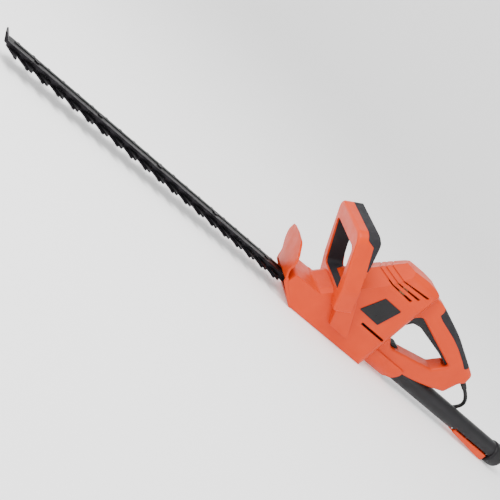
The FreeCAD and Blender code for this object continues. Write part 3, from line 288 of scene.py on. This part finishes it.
# %% Finishes
ORANGE = (0.60, 0.040, 0.0)
ORANGE_WORN = (0.54, 0.034, 0.0)
finishes = {
    "orange_shell": moulded("orange_shell", ORANGE, ORANGE_WORN, 0.40, soft=0.0010),
    "black_shell": moulded("black_shell", (0.006, 0.006, 0.007), (0.009, 0.009, 0.010), 0.42),
    "soft_grip": hatched("soft_grip", (0.012, 0.011, 0.014), (0.017, 0.016, 0.019), 0.60,
                         HATCH_PITCH),
    "black_tube": moulded("black_tube", (0.006, 0.0055, 0.0065), (0.009, 0.0085, 0.010), 0.40),
    "trigger_black": moulded("trigger_black", (0.006, 0.006, 0.007), (0.010, 0.010, 0.011), 0.42),
    "inner_plastic": moulded("inner_plastic", (0.05, 0.05, 0.055), (0.06, 0.06, 0.065), 0.5),
    "badge": moulded("badge", (0.005, 0.005, 0.006), (0.008, 0.008, 0.009), 0.32),
    "cord_rubber": moulded("cord_rubber", (0.007, 0.007, 0.008), (0.011, 0.011, 0.012), 0.52),
    "carbon": moulded("carbon", (0.02, 0.02, 0.02), (0.03, 0.03, 0.03), 0.6),
    "blade_steel": metal("blade_steel", (0.014, 0.013, 0.015), 0.46, (0.2, 1.0, 1.0)),
    "bar_metal": metal("bar_metal", (0.020, 0.019, 0.021), 0.42, (0.05, 1.0, 1.0)),
    "zinc_steel": metal("zinc_steel", (0.55, 0.55, 0.56), 0.32, (1.0, 1.0, 1.0)),
    "cast_case": metal("cast_case", (0.50, 0.50, 0.51), 0.55, (1.0, 1.0, 1.0)),
    "laminations": metal("laminations", (0.22, 0.22, 0.23), 0.5, (0.1, 0.1, 4.0)),
    "copper": metal("copper", (0.60, 0.27, 0.12), 0.35, (0.3, 0.3, 4.0)),
    "sintered": metal("sintered", (0.45, 0.36, 0.20), 0.5, (1.0, 1.0, 1.0)),
    "nickel": metal("nickel", (0.70, 0.69, 0.66), 0.2, (0.2, 1.0, 1.0)),
    "pole_metal": metal("pole_metal", (0.62, 0.62, 0.63), 0.3, (0.1, 1.0, 1.0)),
}
print("finishes", len(finishes))

# %% [markdown]
# ## Dressing the frame
# Each piece of the frame names a material slot in its record, so a finish is chosen by the slot and not by
# the piece. Two shells of the same plastic then always look alike.

# %% Dress the frame's own pieces
slot_of = {entry["node"]: entry["material_slot"] for entry in frame["record"]["subparts"]}


def dress(piece, finish):
    """Puts one finish on every face of a piece."""
    piece.data.materials.clear()
    piece.data.materials.append(finish.material)


for name, piece in nodes.items():
    dress(piece, finishes[slot_of[name]])
for name in ("blade_bolts", "blade_nuts"):
    dress(nodes[name], finishes["bar_metal"])
dress(lead, finishes["cord_rubber"])
print("dressed", len(nodes) + 1, "pieces")

# %% [markdown]
# ## Floor and light
# The tool stands on a pale floor that rises far off into a wall, so no edge of it shows. A flat plane with
# a wall would leave a hard line; one profile turned about the upright axis has none. An even white
# surround gives the soft studio light, and one large lamp above the front gives it a direction.

# %% A surface from a grid
def turned_skin(name, points):
    """Smooth mesh over a grid of points with shape (rows, columns, 3).

    The last column is joined to the first, and one many-sided face closes the first row.
    """
    rows, columns = points.shape[:2]
    index = np.arange(rows * columns).reshape(rows, columns)
    index = np.hstack((index, index[:, :1]))
    faces = np.stack((index[:-1, :-1], index[:-1, 1:], index[1:, 1:], index[1:, :-1]), axis=-1)
    faces = [tuple(face) for face in faces.reshape(-1, 4).tolist()]
    faces.append(tuple(range(columns))[::-1])
    mesh = bpy.data.meshes.new(name)
    mesh.from_pydata(points.reshape(-1, 3).tolist(), [], faces)
    mesh.polygons.foreach_set("use_smooth", np.ones(len(faces), dtype=bool))
    mesh.update()
    piece = bpy.data.objects.new(name, mesh)
    bpy.context.scene.collection.objects.link(piece)
    return piece


# %% Floor and light
FLOOR_GLOW = 0.35
WORLD_STRENGTH = 1.05
KEY_POWER = 60.0
FILL_POWER = 8.0


def add_floor():
    """Pale round floor whose rim rises into a wall.

    Each profile point is a radius and a height; the height stays at nought as far as the flat part
    reaches, then follows a quarter circle, then climbs straight. The profile is turned about the Z axis.
    """
    flat, bend, wall_height, around, steps = 4.0, 1.5, 1.5, 96, 24
    angle = np.linspace(0.0, math.pi / 2, steps)
    radius = np.concatenate(([0.02, 1.0, 2.0, 3.0], flat + bend * np.sin(angle), [flat + bend]))
    height = np.concatenate((np.zeros(4), bend * (1 - np.cos(angle)), [bend + wall_height]))
    turn = np.linspace(0.0, 2 * math.pi, around, endpoint=False)
    points = np.stack((
        np.outer(radius, np.cos(turn)), np.outer(radius, np.sin(turn)),
        np.repeat(height[:, None], around, axis=1)), axis=-1)
    floor = turned_skin("floor", points)
    finish = Finish("floor", (0.96, 0.96, 0.96), 0.9)
    finish.shader.inputs["Emission Color"].default_value = (1.0, 1.0, 1.0, 1.0)
    finish.shader.inputs["Emission Strength"].default_value = FLOOR_GLOW
    floor.data.materials.append(finish.material)
    return floor


def add_light(name, place, aim, size, power):
    """Square soft light at place, facing aim."""
    data = bpy.data.lights.new(name, "AREA")
    data.size = size
    data.energy = power
    lamp = bpy.data.objects.new(name, data)
    lamp.location = place
    lamp.rotation_euler = (Vector(aim) - Vector(place)).to_track_quat("-Z", "Y").to_euler()
    bpy.context.scene.collection.objects.link(lamp)
    return lamp


add_floor()
world = bpy.data.worlds.new("studio")
bpy.context.scene.world = world
world.use_nodes = True
world.node_tree.nodes["Background"].inputs["Color"].default_value = (1.0, 1.0, 1.0, 1.0)
world.node_tree.nodes["Background"].inputs["Strength"].default_value = WORLD_STRENGTH
add_light("key", (1.3, 0.5, 1.7), (0.0, 0.0, 0.05), 1.2, KEY_POWER)
add_light("fill", (-1.4, 1.4, 0.9), (-0.1, 0.0, 0.05), 1.6, FILL_POWER)
print("studio ready")
